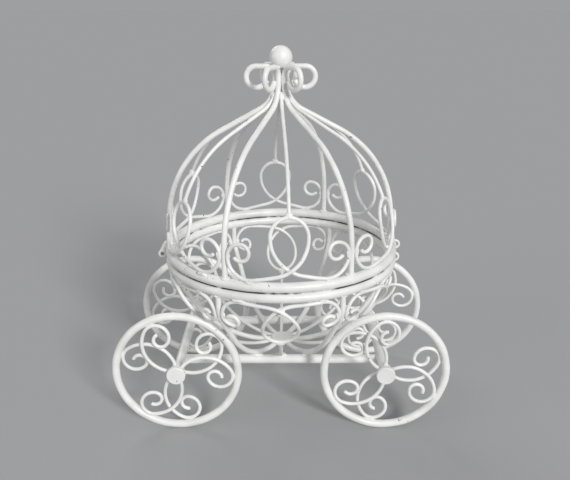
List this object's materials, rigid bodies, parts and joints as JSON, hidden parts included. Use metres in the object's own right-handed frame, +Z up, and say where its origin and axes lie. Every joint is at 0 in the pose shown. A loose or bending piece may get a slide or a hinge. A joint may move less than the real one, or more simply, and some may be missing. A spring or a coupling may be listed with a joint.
{
  "type": "wedding card box",
  "caption": "White wire coach that holds cards: scrolled bowl and hinged dome with a ball finial, on a rod chassis with petal spoked wheels that turn.",
  "frame": {"origin": "on the floor below the middle of the coach, centred between the four wheels", "axes": "+X along the rails, away from the hinge; +Y along the axles, away from the front; +Z up"},
  "size_m": [0.281, 0.2, 0.3117],
  "materials": {
    "white_enamel": "dipped semi-gloss white enamel over welded steel wire",
    "pin_steel": "plain drawn steel"
  },
  "bodies": {
    "base": {"base_ring": "white_enamel", "bowl_rib_1": "white_enamel", "bowl_rib_2": "white_enamel", "bowl_rib_3": "white_enamel", "bowl_rib_4": "white_enamel", "bowl_rib_5": "white_enamel", "bowl_rib_6": "white_enamel", "bowl_scroll_1": "white_enamel", "bowl_scroll_2": "white_enamel", "bowl_scroll_3": "white_enamel", "bowl_scroll_4": "white_enamel", "bowl_scroll_5": "white_enamel", "bowl_scroll_6": "white_enamel", "bowl_stays": "white_enamel", "floor_plate": "white_enamel", "front_rail": "white_enamel", "rear_rail": "white_enamel", "left_axle": "white_enamel", "right_axle": "white_enamel", "axle_caps": "white_enamel", "base_knuckles": "white_enamel", "hinge_pin": "pin_steel", "base_eye": "white_enamel"},
    "lid": {"lid_ring": "white_enamel", "lid_rib_1": "white_enamel", "lid_rib_2": "white_enamel", "lid_rib_3": "white_enamel", "lid_rib_4": "white_enamel", "lid_rib_5": "white_enamel", "lid_rib_6": "white_enamel", "lid_scroll_1": "white_enamel", "lid_scroll_2": "white_enamel", "lid_scroll_3": "white_enamel", "lid_scroll_4": "white_enamel", "lid_scroll_5": "white_enamel", "lid_scroll_6": "white_enamel", "lid_stay_1": "white_enamel", "lid_stay_2": "white_enamel", "lid_stay_3": "white_enamel", "lid_stay_4": "white_enamel", "lid_stay_5": "white_enamel", "lid_stay_6": "white_enamel", "finial_ball": "white_enamel", "finial_stem": "white_enamel", "lid_knuckle": "white_enamel", "lid_eye": "white_enamel"},
    "wheel_front_left": {"wheel_front_left_rim": "white_enamel", "wheel_front_left_spokes": "white_enamel", "wheel_front_left_hub": "white_enamel"},
    "wheel_front_right": {"wheel_front_right_rim": "white_enamel", "wheel_front_right_spokes": "white_enamel", "wheel_front_right_hub": "white_enamel"},
    "wheel_rear_left": {"wheel_rear_left_rim": "white_enamel", "wheel_rear_left_spokes": "white_enamel", "wheel_rear_left_hub": "white_enamel"},
    "wheel_rear_right": {"wheel_rear_right_rim": "white_enamel", "wheel_rear_right_spokes": "white_enamel", "wheel_rear_right_hub": "white_enamel"}
  },
  "joints": [
    {"name": "lid_hinge", "type": "hinge", "parent": "base", "child": "lid", "pos_m": [-0.10269, 0, 0.13926], "axis": [0, -1, 0], "range_deg": [0, 160]},
    {"name": "wheel_front_left_spin", "type": "hinge", "parent": "base", "child": "wheel_front_left", "pos_m": [-0.0865, -0.0645, 0.054], "axis": [0, 1, 0], "continuous": true},
    {"name": "wheel_front_right_spin", "type": "hinge", "parent": "base", "child": "wheel_front_right", "pos_m": [0.0865, -0.0645, 0.054], "axis": [0, 1, 0], "continuous": true},
    {"name": "wheel_rear_left_spin", "type": "hinge", "parent": "base", "child": "wheel_rear_left", "pos_m": [-0.0865, 0.0645, 0.054], "axis": [0, 1, 0], "continuous": true},
    {"name": "wheel_rear_right_spin", "type": "hinge", "parent": "base", "child": "wheel_rear_right", "pos_m": [0.0865, 0.0645, 0.054], "axis": [0, 1, 0], "continuous": true}
  ]
}
